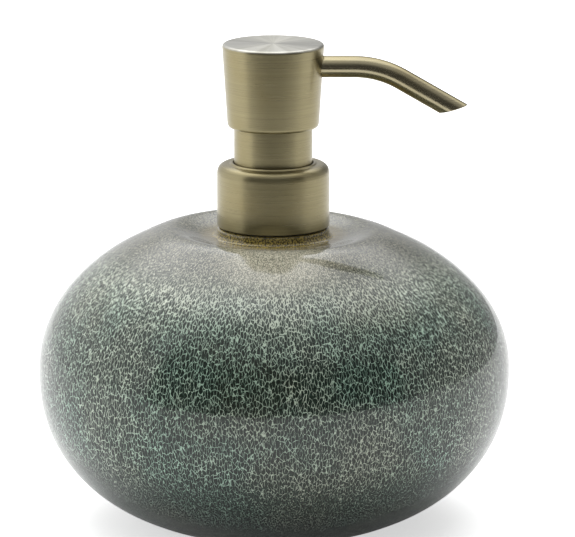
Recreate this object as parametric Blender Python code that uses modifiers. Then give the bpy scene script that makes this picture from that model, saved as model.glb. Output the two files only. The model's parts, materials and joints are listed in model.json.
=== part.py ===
"""Soap pump dispenser: a squat round stoneware bottle with a brass lotion pump.

Metres, +Z up. The origin is the centre of the foot, on the surface that the bottle stands on.
The pump's axis is the Z axis, and at rest the spout points along +X. Heights in the profiles
are above the foot. A profile is a list of (radius, height) that runs down its outer side.
"""

import math

import bmesh
import bpy
from mathutils import Vector

MM = 0.001

# Clearances
FIT = 0.3 * MM  # between pieces that are fixed to each other
RUNNING = 0.2 * MM  # between pieces that slide or turn on each other
PRESS_MARGIN = 0.7 * MM  # left between the head's parts and what lies under them when pressed

# Bottle
BODY_RADIUS = 65.1 * MM
BELLY_HEIGHT = 41.7 * MM  # height of the widest circle
SHOULDER_RISE = 44.0 * MM  # from the belly to where the undished shoulder would close
SHOULDER_POWER = 2.07  # 2 is an ellipse, and more is squarer
FOOT_UNDERCUT = 5.1 * MM  # below the ground, where the undercut side would close
FOOT_POWER = 2.265
BODY_WALL = 4.5 * MM
FLOOR_WALL = 4.8 * MM
FOOT_RING_WIDTH = 5.0 * MM
FOOT_RECESS = 1.8 * MM
FOOT_EDGE = 0.7 * MM
DISH_DEPTH = 5.5 * MM  # the shoulder sinks this far towards the neck
DISH_RADIUS = 30.0 * MM
NECK_STAND = 2.5 * MM  # the neck's rim above the bottom of the dish
NECK_FILLET = 1.2 * MM
NECK_EDGE = 0.8 * MM
NECK_WALL = 2.7 * MM

# Screw thread between neck insert and collar
THREAD_RADIUS = 13.6 * MM  # over the insert's ridge
THREAD_DEPTH = 0.95 * MM
THREAD_PITCH = 4.233 * MM
THREAD_TURNS = 1.25
THREAD_TOP_MARGIN = 2.6 * MM  # from the insert's rim down to the ridge's upper end
THREAD_FOOT_MARGIN = 0.7 * MM  # from the insert's flange up to the liner's ridge
THREAD_CLEARANCE = 0.25 * MM  # between the crests of the two ridges
THREAD_RUN_OUT = 0.15  # turns over which each end of a ridge fades into the wall
THREAD_END_SIZE = 0.35  # the ridge's thickness at its very end, as a share of the full one
THREAD_END_SINK = 0.45 * MM
LINER_THREAD_DEPTH = 0.45 * MM
LINER_RIDGE_SINK = 0.06 * MM  # from the liner's bore to the middle of its ridge
LINER_END_SINK = 0.1 * MM

# Neck insert
INSERT_WALL = 1.65 * MM
INSERT_FLANGE_THICKNESS = 0.8 * MM
INSERT_FLANGE_WIDTH = 1.0 * MM  # beyond the thread's crest
INSERT_BARB_COUNT = 3
INSERT_BARB_DEPTH = 0.5 * MM

# Gasket and pump flange
GASKET_THICKNESS = 1.0 * MM
FLANGE_THICKNESS = 1.3 * MM

# Collar
LINER_WALL = 0.5 * MM
LINER_LEDGE_THICKNESS = 2.0 * MM
LEDGE_OVERLAP = 2.5 * MM  # the ledge's bite on the pump flange
COVER_WALL = 0.4 * MM
COLLAR_LIFT = 0.5 * MM  # the collar's lower edge above the bottle's rim
COLLAR_SHOULDER = 2.3 * MM
COLLAR_LIP_WIDTH = 0.9 * MM
COLLAR_LIP_HEIGHT = 0.35 * MM

# Pump barrel
BORE_RADIUS = 6.2 * MM
BARREL_WALL = 1.2 * MM
VENT_RADIUS = 0.6 * MM
TUBE_RADIUS = 2.5 * MM
TUBE_WALL = 0.7 * MM
TUBE_SOCKET_LENGTH = 6.0 * MM
TUBE_FLOOR_GAP = 2.5 * MM
TUBE_SLANT = math.radians(35)
ORIFICE_RADIUS = 1.4 * MM
ORIFICE_LENGTH = 1.0 * MM

# Valves
BALL_RADIUS = 2.0 * MM
BALL_SIDE_GAP = 0.6 * MM
INLET_LIFT = 1.2 * MM
OUTLET_LIFT = 1.0 * MM

# Ball retainer
RETAINER_THICKNESS = 1.0 * MM
RETAINER_STOP_DEPTH = 0.7 * MM
RETAINER_BOSS_GAP = 0.55 * MM  # between the boss and the spring round it
RETAINER_BOSS_HEIGHT = 2.0 * MM
RETAINER_SLOT_WIDTH = 1.6 * MM

# Plunger
STROKE = 9.5 * MM
STEM_RADIUS = 2.8 * MM
STEM_WALL = 1.3 * MM
STEM_SHOULDER_RADIUS = 3.8 * MM
STEM_SHOULDER_THICKNESS = 0.8 * MM
PISTON_LENGTH = 5.0 * MM
PISTON_LIP_LENGTH = 1.1 * MM
PISTON_LIP_SLOPE = 0.55 * MM
PISTON_WAIST_DEPTH = 0.8 * MM
PISTON_RETAINER_THICKNESS = 1.3 * MM
PISTON_RETAINER_GAP = 1.2 * MM  # between the retainer and the barrel's bore

# Spring
SPRING_WIRE_RADIUS = 0.35 * MM
SPRING_COIL_RADIUS = 4.2 * MM
SPRING_ACTIVE_TURNS = 6
SPRING_END_TURNS = 0.75
SPRING_END_PITCH = 0.84 * MM  # of the closed turns at each end
SPRING_PRESSED_LENGTH = 10.9 * MM

# Stem guide, wiper and sleeve
GUIDE_DEPTH = 8.0 * MM
GUIDE_WEB_THICKNESS = 1.0 * MM
GUIDE_TOWER_WALL = 1.1 * MM
WIPER_THICKNESS = 1.2 * MM
WIPER_WIDTH = 2.4 * MM
SLEEVE_WALL = 0.4 * MM
SLEEVE_OVERLAP = 2.5 * MM  # length of sleeve inside the head at rest
SLEEVE_LIP_WIDTH = 2.4 * MM

# Head
HEAD_HEIGHT = 23.2 * MM
HEAD_SLIDE_GAP = 0.5 * MM  # between the sleeve and the head's bore
HEAD_RIM_WALL = 1.25 * MM
HEAD_FLARE = 1.45 * MM  # the head's radius grows by this from rim to top
HEAD_TOP_WALL = 0.8 * MM
HEAD_TOP_EDGE = 0.8 * MM
HEAD_RIM_EDGE = 1.1 * MM
CORE_WALL = 1.0 * MM
CORE_PLATE = 1.2 * MM
HUB_WALL = 1.5 * MM
CHANNEL_RADIUS = 1.5 * MM

# Spout
SPOUT_RADIUS = 2.95 * MM
SPOUT_WALL = 0.5 * MM
SPOUT_BELOW_TOP = 6.5 * MM  # from the head's top down to the spout's axis
SPOUT_LEVEL_END = 22.2 * MM  # distance from the pump's axis to where the bend starts
SPOUT_BEND_RADIUS = 26.0 * MM
SPOUT_BEND_ANGLE = math.radians(30)
SPOUT_DROP_LENGTH = 16.5 * MM
SPOUT_CUT_ANGLE = math.radians(16)  # the end's rise above level, away from the pump
SPOUT_BOSS_WALL = 0.75 * MM
SPOUT_SEAL_THICKNESS = 1.0 * MM
LINER_TUBE_WALL = 0.65 * MM
LINER_TUBE_SETBACK = 1.2 * MM

# Fineness of the round surfaces
BODY_STEPS = 40
COLLAR_STEPS = 32
BARREL_STEPS = 20
ARC_STEPS = 3
BALL_STEPS = 12
TUBE_STEPS = 16
VENT_STEPS = 12
SPOUT_RESOLUTION = 4
WIRE_RESOLUTION = 2
THREAD_POINTS = 20  # for each turn
SPRING_POINTS = 12  # for each turn
MERGE_DISTANCE = 1e-6

# Finishes: colour, roughness, metallic
GLAZE = ((0.10, 0.16, 0.13), 0.18, 0.0)
BRASS = ((0.46, 0.42, 0.31), 0.3, 1.0)
POLISHED_BRASS = ((0.50, 0.46, 0.34), 0.2, 1.0)
SPRING_STEEL = ((0.62, 0.62, 0.63), 0.3, 1.0)
BALL_STEEL = ((0.75, 0.76, 0.78), 0.12, 1.0)
WHITE_PLASTIC = ((0.80, 0.80, 0.77), 0.45, 0.0)
SOFT_WHITE_PLASTIC = ((0.85, 0.84, 0.80), 0.5, 0.0)
CLEAR_PLASTIC = ((0.88, 0.89, 0.88), 0.3, 0.0)
DARK_PLASTIC = ((0.22, 0.21, 0.18), 0.5, 0.0)
SEAL_RUBBER = ((0.20, 0.20, 0.20), 0.7, 0.0)
GASKET_FOAM = ((0.62, 0.62, 0.60), 0.8, 0.0)


# Radii, and the thread's and the side's lengths, that follow from those above
FOOT_DROP = BELLY_HEIGHT + FOOT_UNDERCUT
THREAD_SPAN = (THREAD_TURNS + 0.5) * THREAD_PITCH  # both ridges, half a turn apart
INSERT_RISE = THREAD_TOP_MARGIN + THREAD_SPAN + THREAD_FOOT_MARGIN
THREAD_ROOT_RADIUS = THREAD_RADIUS - THREAD_DEPTH
INSERT_BORE_RADIUS = THREAD_ROOT_RADIUS - INSERT_WALL
INSERT_FLANGE_RADIUS = THREAD_RADIUS + INSERT_FLANGE_WIDTH
LINER_CREST_RADIUS = THREAD_RADIUS + THREAD_CLEARANCE
LINER_BORE_RADIUS = LINER_CREST_RADIUS + LINER_THREAD_DEPTH
LINER_RADIUS = LINER_BORE_RADIUS + LINER_WALL
COVER_BORE_RADIUS = LINER_RADIUS + FIT
COLLAR_RADIUS = COVER_BORE_RADIUS + COVER_WALL
NECK_RADIUS = COLLAR_RADIUS
NECK_BORE_RADIUS = NECK_RADIUS - NECK_WALL
FLANGE_RADIUS = THREAD_RADIUS - FIT
SLEEVE_RADIUS = FLANGE_RADIUS - LEDGE_OVERLAP
COLLAR_HOLE_RADIUS = SLEEVE_RADIUS + FIT
TOWER_RADIUS = SLEEVE_RADIUS - SLEEVE_WALL - FIT
BARREL_RADIUS = BORE_RADIUS + BARREL_WALL
HEAD_BORE_RADIUS = SLEEVE_RADIUS + HEAD_SLIDE_GAP
HEAD_RIM_RADIUS = HEAD_BORE_RADIUS + HEAD_RIM_WALL
HEAD_TOP_RADIUS = HEAD_RIM_RADIUS + HEAD_FLARE
CORE_RADIUS = HEAD_BORE_RADIUS - FIT
CHAMBER_RADIUS = BALL_RADIUS + BALL_SIDE_GAP
STEM_SOCKET_RADIUS = STEM_RADIUS + FIT
HUB_RADIUS = STEM_SOCKET_RADIUS + HUB_WALL
TUBE_SOCKET_RADIUS = TUBE_RADIUS + FIT
SPOUT_SOCKET_RADIUS = SPOUT_RADIUS + FIT
RETAINER_BOSS_RADIUS = SPRING_COIL_RADIUS - SPRING_WIRE_RADIUS - RETAINER_BOSS_GAP
PISTON_RETAINER_RADIUS = BORE_RADIUS - PISTON_RETAINER_GAP
BALL_SEAT_DISTANCE = (BALL_RADIUS + RUNNING) * math.sqrt(2)  # centre above a 45 degree seat's apex


def shoulder_height(radius):
    """Height of the bottle's outer surface at a radius, above the belly's."""
    share = min(1.0, radius / BODY_RADIUS)
    plain = BELLY_HEIGHT + SHOULDER_RISE * (1 - share**SHOULDER_POWER) ** (1 / SHOULDER_POWER)
    inwards = (DISH_RADIUS - radius) / (DISH_RADIUS - NECK_RADIUS)
    inwards = min(1.0, max(0.0, inwards))
    return plain - DISH_DEPTH * inwards * inwards * (3 - 2 * inwards)


def foot_radius():
    """Radius of the undercut side where it meets the ground."""
    share = (BELLY_HEIGHT / FOOT_DROP) ** FOOT_POWER
    return BODY_RADIUS * (1 - share) ** (1 / FOOT_POWER)


# Heights, from the bottle's rim up through the neck and the collar
FLOOR_HEIGHT = FOOT_RECESS + FLOOR_WALL
NECK_FOOT = shoulder_height(NECK_RADIUS)
NECK_RIM = NECK_FOOT + NECK_STAND
INSERT_FLANGE_BOTTOM = NECK_RIM + FIT
INSERT_FLANGE_TOP = INSERT_FLANGE_BOTTOM + INSERT_FLANGE_THICKNESS
INSERT_TOP = INSERT_FLANGE_TOP + INSERT_RISE
INSERT_BOTTOM = NECK_FOOT - BODY_WALL - FIT
GASKET_BOTTOM = INSERT_TOP + FIT
GASKET_TOP = GASKET_BOTTOM + GASKET_THICKNESS
FLANGE_BOTTOM = GASKET_TOP + FIT
FLANGE_TOP = FLANGE_BOTTOM + FLANGE_THICKNESS
COLLAR_BOTTOM = NECK_RIM + COLLAR_LIFT
LINER_BOTTOM = INSERT_FLANGE_TOP + FIT
LEDGE_BOTTOM = FLANGE_TOP + FIT
LEDGE_TOP = LEDGE_BOTTOM + LINER_LEDGE_THICKNESS
COVER_CEILING = LEDGE_TOP + FIT
COLLAR_TOP = COVER_CEILING + COVER_WALL

# Heights of the head, and of what it slides over
HEAD_BOTTOM = COLLAR_TOP + STROKE + PRESS_MARGIN
HEAD_TOP = HEAD_BOTTOM + HEAD_HEIGHT
HEAD_CEILING = HEAD_TOP - HEAD_TOP_WALL
SLEEVE_BOTTOM = FLANGE_TOP + FIT
SLEEVE_TOP = HEAD_BOTTOM + SLEEVE_OVERLAP
TOWER_TOP = SLEEVE_TOP - SLEEVE_WALL - FIT
GUIDE_WEB_BOTTOM = FLANGE_TOP + FIT
GUIDE_WEB_TOP = GUIDE_WEB_BOTTOM + GUIDE_WEB_THICKNESS
GUIDE_BOTTOM = GUIDE_WEB_BOTTOM - GUIDE_DEPTH
WIPER_BOTTOM = GUIDE_WEB_TOP + FIT
WIPER_TOP = WIPER_BOTTOM + WIPER_THICKNESS
CORE_TOP = HEAD_CEILING - FIT
CORE_BOTTOM = SLEEVE_TOP + STROKE + PRESS_MARGIN
HUB_BOTTOM = WIPER_TOP + STROKE + PRESS_MARGIN
SPOUT_HEIGHT = HEAD_TOP - SPOUT_BELOW_TOP

# Heights down the plunger and the barrel
STEM_SHOULDER_TOP = GUIDE_BOTTOM - FIT
STEM_SHOULDER_BOTTOM = STEM_SHOULDER_TOP - STEM_SHOULDER_THICKNESS
PISTON_TOP = STEM_SHOULDER_BOTTOM - RUNNING
PISTON_BOTTOM = PISTON_TOP - PISTON_LENGTH
PISTON_RETAINER_TOP = PISTON_BOTTOM - RUNNING
PISTON_RETAINER_BOTTOM = PISTON_RETAINER_TOP - PISTON_RETAINER_THICKNESS
STEM_BOTTOM = PISTON_RETAINER_BOTTOM
SPRING_TOP = PISTON_RETAINER_BOTTOM - FIT
SPRING_BOTTOM = SPRING_TOP - STROKE - SPRING_PRESSED_LENGTH
RETAINER_TOP = SPRING_BOTTOM - FIT
RETAINER_BOTTOM = RETAINER_TOP - RETAINER_THICKNESS
RETAINER_STOP = RETAINER_BOTTOM - RETAINER_STOP_DEPTH
BARREL_FLOOR = RETAINER_BOTTOM - FIT
INLET_BALL_HEIGHT = RETAINER_STOP - RUNNING - INLET_LIFT - BALL_RADIUS
INLET_SEAT_APEX = INLET_BALL_HEIGHT - BALL_SEAT_DISTANCE
INLET_SEAT_BOTTOM = INLET_SEAT_APEX + ORIFICE_RADIUS
INLET_SEAT_TOP = INLET_SEAT_APEX + CHAMBER_RADIUS
TUBE_SOCKET_TOP = INLET_SEAT_BOTTOM - ORIFICE_LENGTH
TUBE_TOP = TUBE_SOCKET_TOP - FIT
HOUSING_BOTTOM = TUBE_SOCKET_TOP - TUBE_SOCKET_LENGTH
TUBE_BOTTOM = FLOOR_HEIGHT + TUBE_FLOOR_GAP
VENT_HEIGHT = (PISTON_TOP + PISTON_BOTTOM) / 2

# Heights of the outlet valve
STEM_SEAT_RADIUS = STEM_RADIUS - STEM_WALL / 2
STEM_TOP = SPOUT_HEIGHT - CHANNEL_RADIUS
OUTLET_BALL_HEIGHT = STEM_TOP - STEM_SEAT_RADIUS + BALL_SEAT_DISTANCE
CHAMBER_TOP = OUTLET_BALL_HEIGHT + BALL_RADIUS + OUTLET_LIFT + FIT
CHAMBER_BOTTOM = STEM_TOP + FIT

# Distances out along the spout
SPOUT_SOCKET_FLOOR = HUB_RADIUS + FIT
SPOUT_SEAL_START = SPOUT_SOCKET_FLOOR + FIT
SPOUT_START = SPOUT_SEAL_START + SPOUT_SEAL_THICKNESS + FIT


def clear_scene():
    for obj in list(bpy.data.objects):
        bpy.data.objects.remove(obj, do_unlink=True)


def new_collection(name):
    collection = bpy.data.collections.new(name)
    bpy.context.scene.collection.children.link(collection)
    return collection


def new_material(name, finish):
    colour, roughness, metallic = finish
    material = bpy.data.materials.new(name)
    material.use_nodes = True
    shader = material.node_tree.nodes["Principled BSDF"]
    shader.inputs["Base Color"].default_value = (*colour, 1.0)
    shader.inputs["Roughness"].default_value = roughness
    shader.inputs["Metallic"].default_value = metallic
    material.diffuse_color = (*colour, 1.0)
    return material


clear_scene()
PARTS = new_collection("soap_pump_dispenser")
CUTTERS = new_collection("cutters")
CUTTERS.hide_render = True


def datum(name, height):
    """An empty on the pump's axis, which carries the pieces that move as one."""
    empty = bpy.data.objects.new(name, None)
    empty.empty_display_size = 10 * MM
    empty.location = (0, 0, height)
    PARTS.objects.link(empty)
    return empty


def add_piece(name, mesh, carrier, finish):
    """A visible piece whose mesh is already given relative to its carrier."""
    piece = bpy.data.objects.new(name, mesh)
    piece.parent = carrier
    mesh.materials.append(new_material(name, finish))
    PARTS.objects.link(piece)
    return piece


def add_helper(name, mesh):
    """A cutter, or a shape that is joined to a piece. Its mesh is in the object's own frame."""
    helper = bpy.data.objects.new(name, mesh)
    helper.hide_render = True
    helper.display_type = "WIRE"
    CUTTERS.objects.link(helper)
    return helper


def add_screw(obj, steps):
    screw = obj.modifiers.new("Turn", "SCREW")
    screw.axis = "Z"
    screw.angle = math.tau
    screw.steps = steps
    screw.render_steps = steps
    screw.use_merge_vertices = True
    screw.merge_threshold = MERGE_DISTANCE
    screw.use_smooth_shade = True


def outline(name, profile, base=0.0):
    """A wire through the profile, closed unless both its ends are on the axis."""
    mesh = bpy.data.meshes.new(name)
    edges = [(i, i + 1) for i in range(len(profile) - 1)]
    if profile[0][0] > 0 or profile[-1][0] > 0:
        edges.append((len(profile) - 1, 0))
    mesh.from_pydata([(radius, 0, height - base) for radius, height in profile], edges, [])
    return mesh


def turned(name, profile, carrier, finish, steps=BARREL_STEPS):
    """A piece turned round the pump's axis."""
    mesh = outline(name, profile, carrier.location.z)
    piece = add_piece(name, mesh, carrier, finish)
    add_screw(piece, steps)
    return piece


def arc(centre_radius, centre_height, size, start, end, steps=ARC_STEPS):
    """Profile points on an arc, from one angle to another in degrees, 0 outwards and 90 up."""
    points = []
    for i in range(steps + 1):
        angle = math.radians(start + (end - start) * i / steps)
        points.append((centre_radius + size * math.cos(angle), centre_height + size * math.sin(angle)))
    return points


def apply_boolean(piece, other, operation):
    modifier = piece.modifiers.new(other.name, "BOOLEAN")
    modifier.operation = operation
    modifier.object = other
    modifier.solver = "EXACT"


def cut(piece, other):
    apply_boolean(piece, other, "DIFFERENCE")


def join(piece, other):
    apply_boolean(piece, other, "UNION")


def keep_inside(piece, other):
    apply_boolean(piece, other, "INTERSECT")


def round_bar(name, radius, start, end, sides=BARREL_STEPS):
    """A helper cylinder between two points."""
    start = Vector(start)
    end = Vector(end)
    mesh = bpy.data.meshes.new(name)
    bm = bmesh.new()
    length = (end - start).length
    bmesh.ops.create_cone(bm, cap_ends=True, segments=sides, radius1=radius, radius2=radius, depth=length)
    bm.to_mesh(mesh)
    bm.free()
    helper = add_helper(name, mesh)
    helper.location = (start + end) / 2
    helper.rotation_euler = (end - start).to_track_quat("Z", "Y").to_euler()
    return helper


def block(name, size, centre, tilt=0.0):
    """A helper box, which may be tilted about the Y axis."""
    mesh = bpy.data.meshes.new(name)
    bm = bmesh.new()
    bmesh.ops.create_cube(bm, size=1.0)
    bmesh.ops.scale(bm, vec=size, verts=bm.verts)
    bm.to_mesh(mesh)
    bm.free()
    helper = add_helper(name, mesh)
    helper.location = centre
    helper.rotation_euler = (0, tilt, 0)
    return helper


def wire_mesh(name, points, radius, resolution, sizes=None):
    """The mesh of a round wire through the points, each end capped."""
    curve = bpy.data.curves.new(name, "CURVE")
    curve.dimensions = "3D"
    curve.bevel_depth = radius
    curve.bevel_resolution = resolution
    curve.use_fill_caps = True
    spline = curve.splines.new("POLY")
    spline.points.add(len(points) - 1)
    for i, point in enumerate(points):
        spline.points[i].co = (*point, 1.0)
        spline.points[i].radius = sizes[i] if sizes else 1.0
    wire = bpy.data.objects.new(name, curve)
    CUTTERS.objects.link(wire)
    bpy.context.view_layer.update()
    mesh = bpy.data.meshes.new_from_object(wire.evaluated_get(bpy.context.evaluated_depsgraph_get()))
    mesh.name = name
    bpy.data.objects.remove(wire)
    bpy.data.curves.remove(curve)
    bm = bmesh.new()
    bm.from_mesh(mesh)
    bmesh.ops.remove_doubles(bm, verts=bm.verts, dist=MERGE_DISTANCE)
    bmesh.ops.recalc_face_normals(bm, faces=bm.faces)
    bm.to_mesh(mesh)
    bm.free()
    mesh.materials.clear()
    return mesh


def helix(radius, bottom, top, turns, points_per_turn):
    """Points of a right-handed helix, from bottom to top."""
    count = round(turns * points_per_turn)
    points = []
    for i in range(count + 1):
        angle = math.tau * turns * i / count
        height = bottom + (top - bottom) * i / count
        points.append((radius * math.cos(angle), radius * math.sin(angle), height))
    return points


def thread_ridge(name, helix_radius, ridge_radius, bottom, end_sink):
    """A rounded ridge of the screw thread, whose ends move outwards by end_sink as they fade."""
    top = bottom + THREAD_TURNS * THREAD_PITCH
    points = helix(helix_radius, bottom, top, THREAD_TURNS, THREAD_POINTS)
    run_out = THREAD_RUN_OUT * THREAD_POINTS
    sizes = []
    sunk = []
    for i, (x, y, height) in enumerate(points):
        share = min(1.0, min(i, len(points) - 1 - i) / run_out)
        scale = 1 + end_sink * (1 - share) / helix_radius
        sizes.append(THREAD_END_SIZE + (1 - THREAD_END_SIZE) * share)
        sunk.append((x * scale, y * scale, height))
    return add_helper(name, wire_mesh(name, sunk, ridge_radius, WIRE_RESOLUTION, sizes))


def body_outline():
    """The bottle's outer surface, from the dish round the neck down to the foot."""
    points = []
    dish_start = NECK_RADIUS + NECK_FILLET
    dish_steps = 6
    for i in range(dish_steps):
        radius = dish_start + (DISH_RADIUS - dish_start) * i / dish_steps
        points.append((radius, shoulder_height(radius)))
    shoulder_steps = 9
    edge = math.acos((DISH_RADIUS / BODY_RADIUS) ** (SHOULDER_POWER / 2))
    for i in range(shoulder_steps):
        radius = BODY_RADIUS * math.cos(edge * (1 - i / shoulder_steps)) ** (2 / SHOULDER_POWER)
        points.append((radius, shoulder_height(radius)))
    side_steps = 9
    edge = math.asin((BELLY_HEIGHT - FOOT_EDGE) ** (FOOT_POWER / 2) / FOOT_DROP ** (FOOT_POWER / 2))
    for i in range(side_steps + 1):
        angle = edge * i / side_steps
        radius = BODY_RADIUS * math.cos(angle) ** (2 / FOOT_POWER)
        height = BELLY_HEIGHT - FOOT_DROP * math.sin(angle) ** (2 / FOOT_POWER)
        points.append((radius, height))
    return points


def inner_outline(outer):
    """The bottle's inner surface, one wall inside the outer one, from the floor up to the neck."""
    inner = []
    for i in range(1, len(outer) - 1, 2):
        along = Vector(outer[i + 1]) - Vector(outer[i - 1])
        inwards = Vector((along.y, -along.x)).normalized() * BODY_WALL
        point = Vector(outer[i]) + inwards
        if point.x > NECK_BORE_RADIUS + FIT and point.y > FLOOR_HEIGHT + FIT:
            inner.append(tuple(point))
    return inner[::-1]


def make_bottle(carrier):
    body = body_outline()
    inner = inner_outline(body)
    bore_bottom = inner[-1][1]
    dish_start = NECK_RADIUS + NECK_FILLET
    foot_edge = foot_radius()
    ring_inner = foot_edge - FOOT_RING_WIDTH
    inside = [(0, FLOOR_HEIGHT), (inner[0][0] - FOOT_EDGE, FLOOR_HEIGHT)] + inner
    inside += [(NECK_BORE_RADIUS, bore_bottom), (NECK_BORE_RADIUS, NECK_RIM)]
    outside = arc(NECK_RADIUS - NECK_EDGE, NECK_RIM - NECK_EDGE, NECK_EDGE, 90, 0)
    outside += arc(dish_start, shoulder_height(dish_start) + NECK_FILLET, NECK_FILLET, 180, 270)[:-1]
    outside += body
    outside += [
        (foot_edge, 0),
        (ring_inner, 0),
        (ring_inner - FOOT_RECESS, FOOT_RECESS),
        (0, FOOT_RECESS),
    ]
    turned("ceramic_bottle", inside + outside, carrier, GLAZE, BODY_STEPS)


def make_neck_insert(carrier):
    tail_radius = NECK_BORE_RADIUS - FIT
    barb_length = (INSERT_FLANGE_BOTTOM - INSERT_BOTTOM) / INSERT_BARB_COUNT
    profile = [
        (THREAD_ROOT_RADIUS, INSERT_TOP),
        (THREAD_ROOT_RADIUS, INSERT_FLANGE_TOP),
        (INSERT_FLANGE_RADIUS, INSERT_FLANGE_TOP),
        (INSERT_FLANGE_RADIUS, INSERT_FLANGE_BOTTOM),
    ]
    for i in range(INSERT_BARB_COUNT):
        top = INSERT_FLANGE_BOTTOM - barb_length * i
        profile += [
            (tail_radius - INSERT_BARB_DEPTH, top),
            (tail_radius, top - barb_length / 3),
        ]
    profile += [
        (tail_radius - INSERT_BARB_DEPTH, INSERT_BOTTOM),
        (INSERT_BORE_RADIUS, INSERT_BOTTOM),
        (INSERT_BORE_RADIUS, INSERT_TOP),
    ]
    insert = turned("neck_insert", profile, carrier, WHITE_PLASTIC, COLLAR_STEPS)
    bottom = INSERT_TOP - THREAD_TOP_MARGIN - THREAD_TURNS * THREAD_PITCH
    join(insert, thread_ridge("neck_thread", THREAD_ROOT_RADIUS, THREAD_DEPTH, bottom, -THREAD_END_SINK))


def make_neck_gasket(carrier):
    inner = BARREL_RADIUS + FIT
    profile = [
        (FLANGE_RADIUS, GASKET_TOP),
        (FLANGE_RADIUS, GASKET_BOTTOM),
        (inner, GASKET_BOTTOM),
        (inner, GASKET_TOP),
    ]
    turned("neck_gasket", profile, carrier, GASKET_FOAM, COLLAR_STEPS)


def make_pump_housing(carrier):
    nipple_radius = TUBE_SOCKET_RADIUS + BARREL_WALL
    floor_bottom = BARREL_FLOOR - BARREL_WALL
    profile = [
        (FLANGE_RADIUS, FLANGE_TOP),
        (FLANGE_RADIUS, FLANGE_BOTTOM),
        (BARREL_RADIUS, FLANGE_BOTTOM),
        (BARREL_RADIUS, floor_bottom),
        (nipple_radius, floor_bottom - (BARREL_RADIUS - nipple_radius)),
        (nipple_radius, HOUSING_BOTTOM),
        (TUBE_SOCKET_RADIUS, HOUSING_BOTTOM),
        (TUBE_SOCKET_RADIUS, TUBE_SOCKET_TOP),
        (ORIFICE_RADIUS, TUBE_SOCKET_TOP),
        (ORIFICE_RADIUS, INLET_SEAT_BOTTOM),
        (CHAMBER_RADIUS, INLET_SEAT_TOP),
        (CHAMBER_RADIUS, BARREL_FLOOR),
        (BORE_RADIUS, BARREL_FLOOR),
        (BORE_RADIUS, FLANGE_TOP),
    ]
    housing = turned("pump_housing", profile, carrier, WHITE_PLASTIC)
    start = (0, 0, VENT_HEIGHT)
    beyond = (2 * BARREL_RADIUS, 0, VENT_HEIGHT)
    cut(housing, round_bar("vent_cutter", VENT_RADIUS, start, beyond, VENT_STEPS))


def make_ball_retainer(carrier):
    radius = BORE_RADIUS - FIT
    profile = [
        (0, RETAINER_TOP + RETAINER_BOSS_HEIGHT),
        (RETAINER_BOSS_RADIUS, RETAINER_TOP + RETAINER_BOSS_HEIGHT),
        (RETAINER_BOSS_RADIUS, RETAINER_TOP),
        (radius, RETAINER_TOP),
        (radius, RETAINER_BOTTOM),
        (CHAMBER_RADIUS - FIT, RETAINER_BOTTOM),
        (CHAMBER_RADIUS - FIT, RETAINER_STOP),
        (0, RETAINER_STOP),
    ]
    retainer = turned("ball_retainer", profile, carrier, WHITE_PLASTIC)
    top = RETAINER_TOP + RETAINER_BOSS_HEIGHT
    middle = (RETAINER_STOP + top) / 2
    reach = 2 * (RETAINER_BOSS_RADIUS - RETAINER_SLOT_WIDTH / 2)
    for i in range(2):
        slot = block(
            f"retainer_slot_{i + 1}",
            (reach, RETAINER_SLOT_WIDTH, 2 * (top - RETAINER_STOP)),
            (0, 0, middle),
        )
        slot.rotation_euler = (0, 0, math.pi / 2 * i)
        cut(retainer, slot)


def make_dip_tube(carrier):
    bore = TUBE_RADIUS - TUBE_WALL
    profile = [
        (TUBE_RADIUS, TUBE_TOP),
        (TUBE_RADIUS, TUBE_BOTTOM),
        (bore, TUBE_BOTTOM),
        (bore, TUBE_TOP),
    ]
    tube = turned("dip_tube", profile, carrier, CLEAR_PLASTIC, TUBE_STEPS)
    size = 8 * TUBE_RADIUS
    slant = TUBE_RADIUS * math.tan(TUBE_SLANT)
    below = size / 2 / math.cos(TUBE_SLANT)
    tip = block("tube_end_cutter", (size, size, size), (0, 0, TUBE_BOTTOM + slant - below), TUBE_SLANT)
    cut(tube, tip)


def make_return_spring(carrier):
    first = SPRING_BOTTOM + SPRING_WIRE_RADIUS
    last = SPRING_TOP - SPRING_WIRE_RADIUS
    end_rise = SPRING_END_PITCH * SPRING_END_TURNS
    turns = SPRING_ACTIVE_TURNS + 2 * SPRING_END_TURNS
    count = round(turns * SPRING_POINTS)
    points = []
    for i in range(count + 1):
        turn = turns * i / count
        from_end = min(turn, turns - turn)
        if from_end < SPRING_END_TURNS:
            rise = end_rise * from_end / SPRING_END_TURNS
            height = first + rise if turn < turns / 2 else last - rise
        else:
            share = (turn - SPRING_END_TURNS) / SPRING_ACTIVE_TURNS
            height = first + end_rise + (last - first - 2 * end_rise) * share
        angle = math.tau * turn
        across = (SPRING_COIL_RADIUS * math.cos(angle), SPRING_COIL_RADIUS * math.sin(angle))
        points.append((*across, height - carrier.location.z))
    mesh = wire_mesh("return_spring", points, SPRING_WIRE_RADIUS, WIRE_RESOLUTION)
    add_piece("return_spring", mesh, carrier, SPRING_STEEL)


def make_stem_guide(carrier):
    bore = STEM_RADIUS + RUNNING
    tower_bore = TOWER_RADIUS - GUIDE_TOWER_WALL
    profile = [
        (TOWER_RADIUS, TOWER_TOP),
        (TOWER_RADIUS, GUIDE_WEB_BOTTOM),
        (BORE_RADIUS - FIT, GUIDE_WEB_BOTTOM),
        (BORE_RADIUS - FIT, GUIDE_BOTTOM),
        (bore, GUIDE_BOTTOM),
        (bore, GUIDE_WEB_TOP),
        (tower_bore, GUIDE_WEB_TOP),
        (tower_bore, TOWER_TOP),
    ]
    turned("stem_guide", profile, carrier, WHITE_PLASTIC)


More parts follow.
